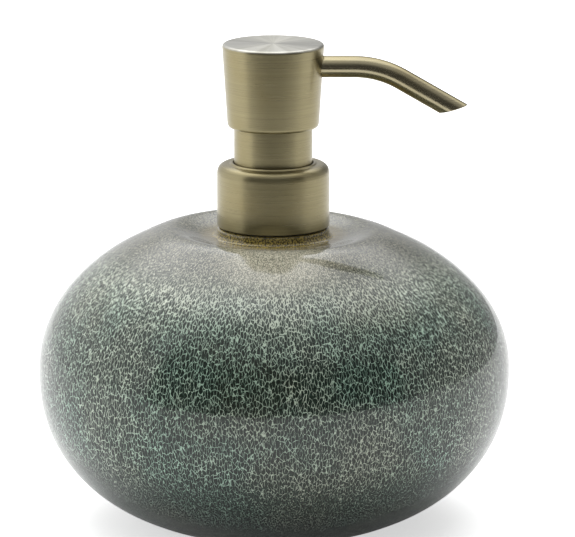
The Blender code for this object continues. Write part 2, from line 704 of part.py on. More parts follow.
def make_stem_wiper(carrier):
    inner = STEM_RADIUS + RUNNING
    profile = [
        (inner + WIPER_WIDTH / 2, WIPER_TOP),
        (inner + WIPER_WIDTH, WIPER_TOP - WIPER_THICKNESS / 2),
        (inner + WIPER_WIDTH, WIPER_BOTTOM),
        (inner, WIPER_BOTTOM),
        (inner, WIPER_TOP),
    ]
    turned("stem_wiper", profile, carrier, SEAL_RUBBER)


def make_sleeve_cover(carrier):
    inner = SLEEVE_RADIUS - SLEEVE_WALL
    lip = SLEEVE_RADIUS - SLEEVE_LIP_WIDTH
    profile = arc(inner, SLEEVE_TOP - SLEEVE_WALL, SLEEVE_WALL, 90, 0)
    profile += [
        (SLEEVE_RADIUS, SLEEVE_BOTTOM),
        (inner, SLEEVE_BOTTOM),
        (inner, SLEEVE_TOP - SLEEVE_WALL),
        (lip, SLEEVE_TOP - SLEEVE_WALL),
        (lip, SLEEVE_TOP),
    ]
    turned("sleeve_cover", profile, carrier, BRASS, COLLAR_STEPS)


def make_collar_liner(carrier):
    corner = COLLAR_SHOULDER - COVER_WALL
    profile = [
        (LINER_RADIUS - corner, LEDGE_TOP),
        (LINER_RADIUS, LEDGE_TOP - corner),
        (LINER_RADIUS, LINER_BOTTOM),
        (LINER_BORE_RADIUS, LINER_BOTTOM),
        (LINER_BORE_RADIUS, LEDGE_BOTTOM),
        (COLLAR_HOLE_RADIUS, LEDGE_BOTTOM),
        (COLLAR_HOLE_RADIUS, LEDGE_TOP),
    ]
    liner = turned("collar_liner", profile, carrier, WHITE_PLASTIC, COLLAR_STEPS)
    ridge_radius = LINER_THREAD_DEPTH - LINER_RIDGE_SINK
    helix_radius = LINER_BORE_RADIUS - LINER_RIDGE_SINK
    bottom = INSERT_TOP - THREAD_TOP_MARGIN - THREAD_SPAN
    join(liner, thread_ridge("liner_thread", helix_radius, ridge_radius, bottom, LINER_END_SINK))


def make_collar_cover(carrier):
    inner_shoulder = COLLAR_SHOULDER - COVER_WALL
    centre = (COLLAR_RADIUS - COLLAR_SHOULDER, COLLAR_TOP - COLLAR_SHOULDER)
    lip_radius = COLLAR_HOLE_RADIUS + COLLAR_LIP_WIDTH
    profile = [
        (COLLAR_HOLE_RADIUS, COLLAR_TOP + COLLAR_LIP_HEIGHT),
        (lip_radius - COLLAR_LIP_HEIGHT, COLLAR_TOP + COLLAR_LIP_HEIGHT),
        (lip_radius, COLLAR_TOP),
    ]
    profile += arc(*centre, COLLAR_SHOULDER, 90, 0)
    profile += [
        (COLLAR_RADIUS, COLLAR_BOTTOM),
        (COVER_BORE_RADIUS, COLLAR_BOTTOM),
    ]
    profile += arc(*centre, inner_shoulder, 0, 90)
    profile += [(COLLAR_HOLE_RADIUS, COVER_CEILING)]
    turned("collar_cover", profile, carrier, BRASS, COLLAR_STEPS)


def make_piston(carrier):
    outer = BORE_RADIUS - RUNNING
    waist = outer - PISTON_WAIST_DEPTH
    waist_from_end = PISTON_LIP_LENGTH + PISTON_LIP_SLOPE
    inner = STEM_RADIUS + RUNNING
    profile = [
        (outer - PISTON_WAIST_DEPTH / 2, PISTON_TOP),
        (outer, PISTON_TOP - PISTON_LIP_LENGTH / 3),
        (outer, PISTON_TOP - PISTON_LIP_LENGTH),
        (waist, PISTON_TOP - waist_from_end),
        (waist, PISTON_BOTTOM + waist_from_end),
        (outer, PISTON_BOTTOM + PISTON_LIP_LENGTH),
        (outer, PISTON_BOTTOM + PISTON_LIP_LENGTH / 3),
        (outer - PISTON_WAIST_DEPTH / 2, PISTON_BOTTOM),
        (inner, PISTON_BOTTOM),
        (inner, PISTON_TOP),
    ]
    turned("piston", profile, carrier, SOFT_WHITE_PLASTIC)


def make_piston_retainer(carrier):
    inner = STEM_RADIUS + FIT
    profile = [
        (PISTON_RETAINER_RADIUS, PISTON_RETAINER_TOP),
        (PISTON_RETAINER_RADIUS, PISTON_RETAINER_BOTTOM),
        (inner, PISTON_RETAINER_BOTTOM),
        (inner, PISTON_RETAINER_TOP),
    ]
    turned("piston_retainer", profile, carrier, WHITE_PLASTIC)


def make_stem(carrier):
    bore = STEM_RADIUS - STEM_WALL
    profile = [
        (STEM_RADIUS, STEM_TOP),
        (STEM_RADIUS, STEM_SHOULDER_TOP),
        (STEM_SHOULDER_RADIUS, STEM_SHOULDER_TOP),
        (STEM_SHOULDER_RADIUS, STEM_SHOULDER_BOTTOM),
        (STEM_RADIUS, STEM_SHOULDER_BOTTOM),
        (STEM_RADIUS, STEM_BOTTOM),
        (bore, STEM_BOTTOM),
        (bore, STEM_TOP - STEM_SEAT_RADIUS + bore),
        (STEM_SEAT_RADIUS, STEM_TOP),
    ]
    turned("stem", profile, carrier, WHITE_PLASTIC)


def make_ball(name, carrier):
    mesh = bpy.data.meshes.new(name)
    bm = bmesh.new()
    bmesh.ops.create_uvsphere(bm, u_segments=BALL_STEPS, v_segments=BALL_STEPS // 2, radius=BALL_RADIUS)
    bm.to_mesh(mesh)
    bm.free()
    mesh.shade_smooth()
    add_piece(name, mesh, carrier, BALL_STEEL)


def make_head_core(carrier):
    plate_bottom = CORE_TOP - CORE_PLATE
    skirt_bore = CORE_RADIUS - CORE_WALL
    profile = [
        (0, CORE_TOP),
        (CORE_RADIUS, CORE_TOP),
        (CORE_RADIUS, CORE_BOTTOM),
        (skirt_bore, CORE_BOTTOM),
        (skirt_bore, plate_bottom),
        (HUB_RADIUS, plate_bottom),
        (HUB_RADIUS, HUB_BOTTOM),
        (STEM_SOCKET_RADIUS, HUB_BOTTOM),
        (STEM_SOCKET_RADIUS, CHAMBER_BOTTOM),
        (CHAMBER_RADIUS, CHAMBER_BOTTOM),
        (CHAMBER_RADIUS, CHAMBER_TOP),
        (0, CHAMBER_TOP),
    ]
    core = turned("head_core", profile, carrier, DARK_PLASTIC, COLLAR_STEPS)
    boss_radius = SPOUT_SOCKET_RADIUS + SPOUT_BOSS_WALL
    boss_start = ((CHAMBER_RADIUS + HUB_RADIUS) / 2, 0, SPOUT_HEIGHT)
    beyond = (2 * CORE_RADIUS, 0, SPOUT_HEIGHT)
    web_length = beyond[0] - boss_start[0]
    web_height = plate_bottom + CORE_PLATE / 2 - SPOUT_HEIGHT
    web_centre = (boss_start[0] + web_length / 2, 0, SPOUT_HEIGHT + web_height / 2)
    skirt_middle = round_bar(
        "skirt_middle", CORE_RADIUS - CORE_WALL / 2, (0, 0, CORE_BOTTOM), (0, 0, CORE_TOP), COLLAR_STEPS
    )
    boss = round_bar("spout_boss", boss_radius, boss_start, beyond)
    keep_inside(boss, skirt_middle)
    join(core, boss)
    web = block("spout_boss_web", (web_length, 2 * boss_radius, web_height), web_centre)
    keep_inside(web, skirt_middle)
    join(core, web)
    cut(core, round_bar("spout_socket", SPOUT_SOCKET_RADIUS, (SPOUT_SOCKET_FLOOR, 0, SPOUT_HEIGHT), beyond))
    cut(core, round_bar("spout_channel", CHANNEL_RADIUS, (0, 0, SPOUT_HEIGHT), beyond, TUBE_STEPS))


def make_head_shell(carrier):
    rim_slope = HEAD_FLARE / HEAD_HEIGHT
    profile = [(0, HEAD_TOP)]
    profile += arc(HEAD_TOP_RADIUS - HEAD_TOP_EDGE, HEAD_TOP - HEAD_TOP_EDGE, HEAD_TOP_EDGE, 90, 0)
    rim_radius = HEAD_RIM_RADIUS + rim_slope * HEAD_RIM_EDGE
    profile += arc(rim_radius - HEAD_RIM_EDGE, HEAD_BOTTOM + HEAD_RIM_EDGE, HEAD_RIM_EDGE, 0, -90)
    profile += [
        (HEAD_BORE_RADIUS, HEAD_BOTTOM),
        (HEAD_BORE_RADIUS, HEAD_CEILING),
        (0, HEAD_CEILING),
    ]
    shell = turned("head_shell", profile, carrier, BRASS, COLLAR_STEPS)
    start = (HEAD_BORE_RADIUS - HEAD_RIM_WALL, 0, SPOUT_HEIGHT)
    hole = round_bar("spout_hole", SPOUT_RADIUS + FIT, start, (2 * HEAD_TOP_RADIUS, 0, SPOUT_HEIGHT))
    cut(shell, hole)


def spout_path(start, extra):
    """Points along the spout's axis, from a distance out to past its end."""
    points = [(start, 0, SPOUT_HEIGHT)]
    bend_steps = 6
    for i in range(bend_steps + 1):
        angle = SPOUT_BEND_ANGLE * i / bend_steps
        out = SPOUT_LEVEL_END + SPOUT_BEND_RADIUS * math.sin(angle)
        down = SPOUT_BEND_RADIUS * (1 - math.cos(angle))
        points.append((out, 0, SPOUT_HEIGHT - down))
    reach = SPOUT_DROP_LENGTH + extra
    out, _, height = points[-1]
    end = (out + reach * math.cos(SPOUT_BEND_ANGLE), 0, height - reach * math.sin(SPOUT_BEND_ANGLE))
    return points + [end]


def bent_tube(name, radius, wall, setback, carrier, finish):
    """A tube along the spout's path, with its end cut on a slant, a setback short of the spout's."""
    extra = 3 * SPOUT_RADIUS
    base = Vector((0, 0, carrier.location.z))
    local = [Vector(point) - base for point in spout_path(SPOUT_START, extra)]
    mesh = wire_mesh(name, local, radius, SPOUT_RESOLUTION)
    tube = add_piece(name, mesh, carrier, finish)
    bore_path = spout_path(SPOUT_START - wall, 2 * extra)
    bore = wire_mesh(name + "_bore", bore_path, radius - wall, SPOUT_RESOLUTION)
    cut(tube, add_helper(name + "_bore", bore))
    size = 8 * SPOUT_RADIUS
    end = Vector(spout_path(SPOUT_START, -setback)[-1])
    down = Vector((math.sin(SPOUT_CUT_ANGLE), 0, -math.cos(SPOUT_CUT_ANGLE)))
    tip = block(name + "_end", (size, size, size), end + down * size / 2, -SPOUT_CUT_ANGLE)
    cut(tube, tip)


def make_spout(carrier):
    bent_tube("spout_tube", SPOUT_RADIUS, SPOUT_WALL, 0, carrier, POLISHED_BRASS)
    liner_radius = SPOUT_RADIUS - SPOUT_WALL - FIT
    bent_tube("spout_liner", liner_radius, LINER_TUBE_WALL, LINER_TUBE_SETBACK, carrier, CLEAR_PLASTIC)


def make_spout_seal(carrier):
    name = "spout_seal"
    inner = CHANNEL_RADIUS + FIT
    middle = SPOUT_SEAL_START + SPOUT_SEAL_THICKNESS / 2
    half = SPOUT_SEAL_THICKNESS / 2
    mesh = outline(name, [(SPOUT_RADIUS, half), (SPOUT_RADIUS, -half), (inner, -half), (inner, half)])
    seal = add_piece(name, mesh, carrier, SEAL_RUBBER)
    seal.location = (middle, 0, SPOUT_HEIGHT - carrier.location.z)
    seal.rotation_euler = (0, math.pi / 2, 0)
    add_screw(seal, BARREL_STEPS)


def make_dispenser():
    bottle = datum("bottle_foot", 0)
    make_bottle(bottle)
    make_neck_insert(bottle)
    make_neck_gasket(datum("gasket_seat", GASKET_BOTTOM))

    engine = datum("pump_flange", FLANGE_BOTTOM)
    make_pump_housing(engine)
    make_ball_retainer(engine)
    make_dip_tube(engine)
    make_return_spring(engine)
    make_stem_guide(engine)
    make_stem_wiper(engine)
    make_sleeve_cover(engine)
    make_ball("inlet_ball", datum("inlet_seat", INLET_BALL_HEIGHT))

    collar = datum("collar_axis", COLLAR_BOTTOM)
    make_collar_liner(collar)
    make_collar_cover(collar)

    make_piston(datum("plunger_axis", PISTON_BOTTOM))
    head = datum("head_axis", HEAD_BOTTOM)
    make_piston_retainer(head)
    make_stem(head)
    make_head_core(head)
    make_head_shell(head)
    make_spout(head)
    make_spout_seal(head)
    make_ball("outlet_ball", datum("outlet_seat", OUTLET_BALL_HEIGHT))


make_dispenser()
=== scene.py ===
"""Looks of the soap pump dispenser: a squat stoneware bottle with an antique brass lotion pump.

Metres, +Z up, the pump's axis on Z, and the spout along +X. A turned piece takes its outline from
its CAD node, with fine steps and rounded corners, so that its size and place are the frame's.
"""

import json
import math

import bmesh
import bpy
import numpy as np
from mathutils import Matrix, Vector, noise

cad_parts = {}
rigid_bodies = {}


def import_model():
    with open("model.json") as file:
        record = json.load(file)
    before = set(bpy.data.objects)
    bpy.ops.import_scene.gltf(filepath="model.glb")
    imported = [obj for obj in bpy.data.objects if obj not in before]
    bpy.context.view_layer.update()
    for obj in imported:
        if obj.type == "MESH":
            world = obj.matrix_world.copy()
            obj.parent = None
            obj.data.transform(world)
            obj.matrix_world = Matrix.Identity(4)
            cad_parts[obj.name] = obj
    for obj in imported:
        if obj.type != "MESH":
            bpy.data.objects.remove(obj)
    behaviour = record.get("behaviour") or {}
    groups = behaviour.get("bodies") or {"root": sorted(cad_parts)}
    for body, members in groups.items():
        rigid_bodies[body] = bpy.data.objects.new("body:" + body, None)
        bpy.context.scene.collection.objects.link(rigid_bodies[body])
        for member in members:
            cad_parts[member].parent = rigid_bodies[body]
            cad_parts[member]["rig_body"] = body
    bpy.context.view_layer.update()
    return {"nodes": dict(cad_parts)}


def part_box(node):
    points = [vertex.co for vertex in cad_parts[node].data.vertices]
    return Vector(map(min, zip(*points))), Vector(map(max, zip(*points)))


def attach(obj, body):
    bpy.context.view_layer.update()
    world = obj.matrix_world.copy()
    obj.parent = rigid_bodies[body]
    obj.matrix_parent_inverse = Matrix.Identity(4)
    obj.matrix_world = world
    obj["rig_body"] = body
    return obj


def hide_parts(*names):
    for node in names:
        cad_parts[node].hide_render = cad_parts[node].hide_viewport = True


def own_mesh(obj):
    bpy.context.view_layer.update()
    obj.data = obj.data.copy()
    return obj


MM = 0.001
NEAR = 1e-6  # places closer than this count as one
SMOOTH_TURN = math.radians(3)  # an outline's turns under this are left alone
GENTLE_TURN = math.radians(35)  # and under this are made into arcs

FINE_STEPS = 192  # round the metal pieces
HIDDEN_STEPS = 96  # round the inner pieces
THREAD_STEPS = 128  # round the threaded pieces
BOTTLE_STEPS = 320

GLAZE_SWELL = 0.35 * MM  # the glaze's uneven thickness on the belly
BELLY_SHIFT = 0.37 * MM  # of the belly, towards the spout
SHOULDER_SINK = 0.5 * MM  # of the shoulder, towards the spout
METAL_EDGE = 0.12 * MM  # radius on the sheet metal's edges
SPOUT_LEVEL_END = 22.2 * MM  # from the pump's axis to where the spout begins to bend
SPOUT_BEND_RADIUS = 26.0 * MM
SPOUT_DROOP = math.radians(30)
SPOUT_TAIL = 16.5 * MM  # straight, past the bend
SPOUT_SLANT = math.radians(16)  # of the cut end from level
THREAD_PITCH = 4.233 * MM
THREAD_RIDGE = 0.95 * MM  # the insert's ridge, in radius
THREAD_TURNS = 1.25
THREAD_TOP_MARGIN = 2.6 * MM  # from the insert's rim down to its ridge

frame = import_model()


# ---------------------------------------------------------------- outlines

def section(node, side=1):
    """The outline of a turned CAD node at y = 0, as (radius, height) pairs in order."""
    mesh = frame["nodes"][node].data
    places = {}
    for vertex in mesh.vertices:
        x, y, z = vertex.co
        if abs(y) < NEAR and side * x > -NEAR:
            places[vertex.index] = (round(side * x, 6), round(z, 6))
    links = {}
    for edge in mesh.edges:
        a, b = (places.get(i) for i in edge.vertices)
        if a is None or b is None or a == b:
            continue
        links.setdefault(a, set()).add(b)
        links.setdefault(b, set()).add(a)
    ends = sorted(place for place in links if len(links[place]) == 1)
    here = ends[0] if ends else min(links)
    walked = [here]
    while True:
        onward = [place for place in sorted(links[here]) if place not in walked]
        if not onward:
            break
        here = onward[0]
        walked.append(here)
    if ends:
        walked = [(0.0, walked[0][1]), *walked, (0.0, walked[-1][1])]
    return without_straights(walked)


def without_straights(outline):
    """The outline without the points that lie on a straight line between their neighbours."""
    closed = outline[0][0] > NEAR or outline[-1][0] > NEAR
    kept = []
    for i, point in enumerate(outline):
        if not closed and i in (0, len(outline) - 1):
            kept.append(point)
            continue
        before = Vector(point) - Vector(outline[i - 1])
        after = Vector(outline[(i + 1) % len(outline)]) - Vector(point)
        if before.angle(after) > math.radians(0.5):
            kept.append(point)
    return kept


def softened(outline, edge, steps=4):
    """The outline with its sharp corners rounded by edge, and its gentle ones into arcs."""
    closed = outline[0][0] > NEAR or outline[-1][0] > NEAR
    soft = []
    for i, point in enumerate(outline):
        if not closed and i in (0, len(outline) - 1):
            soft.append(point)
            continue
        here = Vector(point)
        back = Vector(outline[i - 1]) - here
        on = Vector(outline[(i + 1) % len(outline)]) - here
        turn = math.pi - back.angle(on)
        if turn < SMOOTH_TURN:
            soft.append(point)
            continue
        room = 0.49 * min(back.length, on.length)
        reach = room if turn < GENTLE_TURN else min(room, edge * math.tan(turn / 2))
        start = here + back.normalized() * reach
        end = here + on.normalized() * reach
        for k in range(steps + 1):
            t = k / steps
            bend = start * (1 - t) ** 2 + here * 2 * t * (1 - t) + end * t * t
            soft.append(tuple(bend))
    return soft


def spline(points, count):
    """Count points on the natural cubic spline through the points."""
    known = np.array(points, float)
    along = np.concatenate([[0.0], np.cumsum(np.linalg.norm(np.diff(known, axis=0), axis=1))])
    gaps = np.diff(along)
    size = len(known)
    matrix = np.eye(size)
    right = np.zeros((size, 2))
    for i in range(1, size - 1):
        matrix[i, i - 1 : i + 2] = gaps[i - 1], 2 * (gaps[i - 1] + gaps[i]), gaps[i]
        slope_before = (known[i] - known[i - 1]) / gaps[i - 1]
        slope_after = (known[i + 1] - known[i]) / gaps[i]
        right[i] = 6 * (slope_after - slope_before)
    bends = np.linalg.solve(matrix, right)
    fine = []
    for at in np.linspace(0, along[-1], count):
        i = min(np.searchsorted(along, at, side="right") - 1, size - 2)
        a = along[i + 1] - at
        b = at - along[i]
        gap = gaps[i]
        value = (bends[i] * a**3 + bends[i + 1] * b**3) / (6 * gap)
        value += (known[i] / gap - bends[i] * gap / 6) * a
        value += (known[i + 1] / gap - bends[i + 1] * gap / 6) * b
        fine.append(tuple(value))
    return fine


# ---------------------------------------------------------------- meshes

def grid_mesh(name, rings, joined_ends):
    """A mesh of rings of points. A ring of one point is a pole. Joined ends close a loop."""
    verts = []
    starts = []
    for ring in rings:
        starts.append(len(verts))
        verts += ring
    faces = []
    pairs = list(zip(range(len(rings)), range(1, len(rings))))
    if joined_ends:
        pairs.append((len(rings) - 1, 0))
    for i, j in pairs:
        count = max(len(rings[i]), len(rings[j]))
        for k in range(count):
            m = (k + 1) % count
            if len(rings[i]) == 1:
                faces.append((starts[i], starts[j] + m, starts[j] + k))
            elif len(rings[j]) == 1:
                faces.append((starts[i] + k, starts[i] + m, starts[j]))
            else:
                faces.append((starts[i] + k, starts[i] + m, starts[j] + m, starts[j] + k))
    mesh = bpy.data.meshes.new(name)
    mesh.from_pydata(verts, [], faces)
    bm = bmesh.new()
    bm.from_mesh(mesh)
    bmesh.ops.recalc_face_normals(bm, faces=bm.faces)
    bm.to_mesh(mesh)
    bm.free()
    mesh.shade_smooth()
    return mesh


def piece(name, mesh, paint, node, sharp=50):
    """A piece that stands for a CAD node: it hides the node, joins the node's body and takes the
    given material.
    """
    made = bpy.data.objects.new(name, mesh)
    bpy.context.scene.collection.objects.link(made)
    mesh.materials.clear()
    mesh.materials.append(paint)
    mesh.set_sharp_from_angle(angle=math.radians(sharp))
    body = frame["nodes"][node]["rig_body"]
    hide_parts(node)
    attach(made, body)
    return made


def turned(outline, steps=HIDDEN_STEPS, name="turned"):
    """The mesh of an outline turned round the Z axis."""
    angles = [math.tau * k / steps for k in range(steps)]
    rings = []
    for radius, height in outline:
        if radius < NEAR:
            rings.append([(0.0, 0.0, height)])
        else:
            rings.append([(radius * math.cos(a), radius * math.sin(a), height) for a in angles])
    closed = outline[0][0] > NEAR or outline[-1][0] > NEAR
    return grid_mesh(name, rings, closed)


def cut(made, cutter, operation="DIFFERENCE"):
    """The mesh that is left when a Boolean has been applied to a mesh."""
    tool = bpy.data.objects.new("cutter", cutter)
    bpy.context.scene.collection.objects.link(tool)
    base = bpy.data.objects.new("base", made)
    bpy.context.scene.collection.objects.link(base)
    change = base.modifiers.new("Cut", "BOOLEAN")
    change.operation = operation
    change.object = tool
    change.solver = "EXACT"
    bpy.context.view_layer.update()
    graph = bpy.context.evaluated_depsgraph_get()
    result = bpy.data.meshes.new_from_object(base.evaluated_get(graph))
    bpy.data.objects.remove(tool)
    bpy.data.objects.remove(base)
    return result


def bar(radius, start, end, steps=64):
    """A closed cylinder between two points, as a cutter."""
    start = Vector(start)
    end = Vector(end)
    along = (end - start).normalized()
    side = along.orthogonal().normalized()
    up = along.cross(side)
    angles = [math.tau * k / steps for k in range(steps)]
    rings = [[tuple(start)]]
    for middle in (start, end):
        spokes = [side * math.cos(a) + up * math.sin(a) for a in angles]
        rings.append([tuple(middle + radius * spoke) for spoke in spokes])
    rings.append([tuple(end)])
    return grid_mesh("bar", rings, False)


# ---------------------------------------------------------------- paints

class Paint:
    """A material with short calls for its nodes. Plain values are the same all over."""

    def __init__(self, name, plain):
        self.material = bpy.data.materials.new(name)
        self.material.use_nodes = True
        self.tree = self.material.node_tree
        self.shader = self.tree.nodes["Principled BSDF"]
        for socket, value in plain.items():
            self.shader.inputs[socket].default_value = value

    def node(self, kind, inputs, output=0, **settings):
        made = self.tree.nodes.new("ShaderNode" + kind)
        for key, value in settings.items():
            setattr(made, key, value)
        for key, value in inputs.items():
            if isinstance(value, bpy.types.NodeSocket):
                self.tree.links.new(value, made.inputs[key])
            else:
                made.inputs[key].default_value = value
        return made.outputs[output]

    def place(self):
        return self.node("TexCoord", {}, "Object")

    def attribute(self, name, output="Vector"):
        return self.node("Attribute", {}, output, attribute_name=name)

    def stretch(self, place, scale):
        return self.node("Mapping", {"Vector": place, "Scale": scale})

    def noise(self, place, scale, detail=2.0, roughness=0.5, output="Fac"):
        inputs = {"Vector": place, "Scale": scale, "Detail": detail, "Roughness": roughness}
        return self.node("TexNoise", inputs, output)

    def cells(self, place, scale, randomness=1.0):
        inputs = {"Vector": place, "Scale": scale, "Randomness": randomness}
        return self.node("TexVoronoi", inputs, "Distance", feature="DISTANCE_TO_EDGE")

    def step(self, value, start, end, low=0.0, high=1.0):
        inputs = {"Value": value, "From Min": start, "From Max": end}
        inputs.update({"To Min": low, "To Max": high})
        return self.node("MapRange", inputs, "Result", interpolation_type="SMOOTHSTEP")

    def sum(self, a, b):
        return self.node("Math", {0: a, 1: b}, operation="ADD")

    def times(self, a, b):
        return self.node("Math", {0: a, 1: b}, operation="MULTIPLY")

    def most(self, a, b):
        return self.node("Math", {0: a, 1: b}, operation="MAXIMUM")

    def vector(self, operation, a, b):
        return self.node("VectorMath", {0: a, 1: b}, "Vector", operation=operation)

    def length(self, a):
        return self.node("VectorMath", {0: a}, "Value", operation="LENGTH")

    def axis(self, place, name):
        return self.node("SeparateXYZ", {"Vector": place}, name)

    def mix(self, share, a, b):
        a = (*a, 1.0) if isinstance(a, tuple) and len(a) == 3 else a
        b = (*b, 1.0) if isinstance(b, tuple) and len(b) == 3 else b
        return self.node("Mix", {0: share, 6: a, 7: b}, 2, data_type="RGBA")

    def blend(self, share, a, b):
        return self.node("Mix", {0: share, 2: a, 3: b}, 0, data_type="FLOAT")

    def bump(self, height, distance, strength=1.0):
        inputs = {"Height": height, "Distance": distance, "Strength": strength}
        normal = self.node("Bump", inputs)
        self.tree.links.new(normal, self.shader.inputs["Normal"])

    def set(self, socket, value):
        self.tree.links.new(value, self.shader.inputs[socket])


def glaze_net(paint, place, upper, neck, low):
    """The pale net, a bent mesh of drawn-out cells, and the grain that takes over at both ends."""
    bend = paint.noise(place, 520, 3, 0.6, "Color")
    centred = paint.vector("SUBTRACT", bend, (0.5,) * 3)
    shift = paint.vector("MULTIPLY", centred, (1.0 * MM,) * 3)
    warped = paint.vector("ADD", place, shift)
    patch = paint.noise(place, 230, 2)
    width = paint.sum(paint.step(patch, 0.3, 0.7, 0.0, 0.018), paint.times(upper, 0.06))
    large = paint.cells(paint.stretch(warped, (1.0, 1.0, 0.42)), 1250)
    small = paint.cells(paint.stretch(warped, (1.0, 1.0, 0.55)), 1900)
    thread = paint.step(paint.sum(large, paint.times(width, -1.0)), 0.088, 0.008)
    hair = paint.step(small, 0.09, 0.0, 0.0, 0.45)
    broken = paint.step(paint.noise(warped, 900, 3), 0.34, 0.52)
    net = paint.times(paint.most(thread, hair), paint.sum(paint.times(broken, 0.5), 0.5))
    grain = paint.noise(paint.stretch(place, (1.0, 1.0, 0.7)), 2300, 3, 0.6)
    fine = paint.step(grain, 0.43, 0.60)
    net = paint.blend(paint.times(low, 0.9), net, paint.times(fine, 0.7))
    net = paint.blend(paint.times(neck, 0.8), net, paint.times(fine, 0.9))
    return net, grain


def glaze_colour(paint, place, net, upper, neck):
    """Mint threads on a green-black ground, browner in patches and towards the neck."""
    hue = paint.noise(place, 38, 3, 0.55)
    brown = paint.times(paint.step(paint.noise(place, 27, 2), 0.52, 0.70), 0.35)
    ground = paint.mix(paint.step(hue, 0.35, 0.65), (0.005, 0.012, 0.009), (0.011, 0.021, 0.013))
    ground = paint.mix(upper, ground, (0.022, 0.036, 0.026))
    ground = paint.mix(brown, ground, (0.030, 0.026, 0.012))
    mint = paint.mix(paint.step(hue, 0.38, 0.62), (0.34, 0.51, 0.40), (0.51, 0.59, 0.47))
    mint = paint.mix(upper, mint, (0.53, 0.58, 0.47))
    mint = paint.mix(brown, mint, (0.40, 0.38, 0.27))
    pale = paint.mix(paint.times(neck, 0.85), mint, (0.38, 0.355, 0.265))
    middle = paint.mix(upper, (0.018, 0.042, 0.030), (0.07, 0.105, 0.08))
    middle = paint.mix(neck, middle, (0.030, 0.030, 0.018))
    under = paint.mix(paint.step(net, 0.02, 0.45), ground, middle)
    return paint.mix(paint.step(net, 0.35, 0.95), under, pale)


def reactive_glaze():
    """A pale net over a green-black glaze, ochre on the neck, and bare clay on the foot ring."""
    plain = {"IOR": 1.55, "Specular IOR Level": 0.4, "Coat Roughness": 0.03}
    paint = Paint("reactive_glaze", plain)
    place = paint.attribute("glaze_place")
    spot = paint.place()
    height = paint.axis(spot, "Z")
    upper = paint.step(height, 55 * MM, 79 * MM)
    neck = paint.step(height, 68 * MM, 80 * MM)
    low = paint.step(height, 30 * MM, 10 * MM)
    net, grain = glaze_net(paint, place, upper, neck, low)
    colour = glaze_colour(paint, place, net, upper, neck)

    # Painted reflection: a pale, speckled veil of light on the front of the shoulder, where the
    # glaze reflects the bright room.
    glare_middle = (1 * MM, -30 * MM, 73 * MM)
    from_glare = paint.length(paint.vector("SUBTRACT", spot, glare_middle))
    speckled = paint.step(grain, 0.40, 0.60, 0.25, 0.8)
    painted_glare = paint.times(paint.step(from_glare, 21 * MM, 7 * MM), speckled)
    colour = paint.mix(painted_glare, colour, (0.64, 0.61, 0.48))
    # Painted shade: the glaze is darkened towards the bottom, under the belly, where the pot's
    # contact shadow falls.
    foot = paint.step(height, 26 * MM, 6 * MM, 0.0, 0.5)
    colour = paint.mix(foot, colour, (0.006, 0.010, 0.008))
    across = paint.length(paint.vector("MULTIPLY", spot, (1.0, 1.0, 0.0)))
    pooled = paint.times(paint.step(across, 22 * MM, 17.5 * MM), neck)
    colour = paint.mix(paint.times(pooled, 0.7), colour, (0.20, 0.15, 0.035))
    zone = paint.attribute("glaze_zone", "Fac")
    speckle = paint.step(paint.noise(spot, 2600, 2), 0.42, 0.60)
    ochre = paint.mix(speckle, (0.050, 0.040, 0.010), (0.42, 0.32, 0.075))
    colour = paint.mix(paint.step(zone, 0.5, 1.0), colour, ochre)
    clay_grain = paint.noise(spot, 1400, 4, 0.7)
    clay = paint.mix(clay_grain, (0.30, 0.25, 0.20), (0.50, 0.44, 0.36))
    bare = paint.step(zone, -0.5, -1.0)
    colour = paint.mix(bare, colour, clay)
    paint.set("Base Color", colour)

    gloss = paint.blend(neck, paint.step(net, 0.0, 1.0, 0.07, 0.13), 0.04)
    paint.set("Roughness", paint.blend(bare, gloss, 0.75))
    coat = paint.blend(neck, paint.step(net, 0.1, 0.9, 0.25, 1.0), 0.65)
    paint.set("Coat Weight", paint.blend(bare, coat, 0.0))
    ripple = paint.noise(place, 160, 2)
    relief = paint.sum(paint.times(net, paint.blend(neck, 0.22, 0.03)), ripple)
    paint.bump(paint.sum(relief, paint.times(clay_grain, paint.times(bare, 0.3))), 0.22 * MM, 0.5)
    return paint.material


